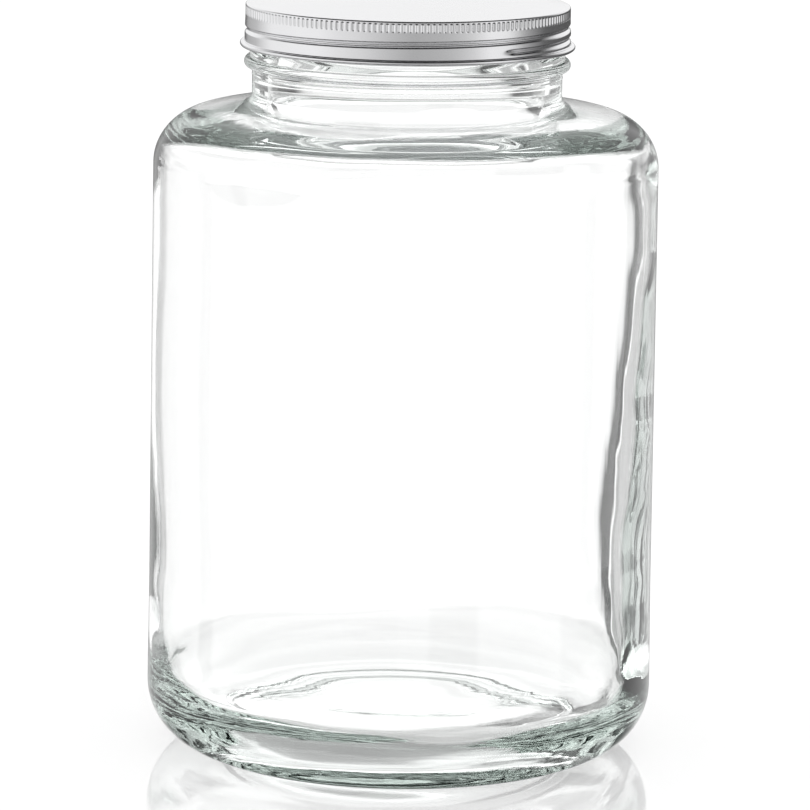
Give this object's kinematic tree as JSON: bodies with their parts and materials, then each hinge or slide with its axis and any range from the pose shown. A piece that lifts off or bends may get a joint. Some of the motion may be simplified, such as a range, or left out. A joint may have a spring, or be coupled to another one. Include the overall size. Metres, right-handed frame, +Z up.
{
  "type": "glass storage jar",
  "caption": "Clear glass storage jar with rounded shoulder and heel, a short ringed neck and a screwed-on aluminium lid; the inside holds dry food or drink.",
  "frame": {"origin": "middle of the base, on the surface that the jar stands on", "axes": "+Z up along the axis that the jar is turned round; the front is -Y"},
  "size_m": [0.185, 0.185, 0.273],
  "materials": {
    "clear_glass": "clear polished soda-lime glass, grey-green at its thick edges",
    "satin_aluminium": "satin rolled sheet, fine fluted band, no print"
  },
  "bodies": {
    "root": {"glass_jar": "clear_glass", "screw_lid": "satin_aluminium"}
  },
  "joints": []
}
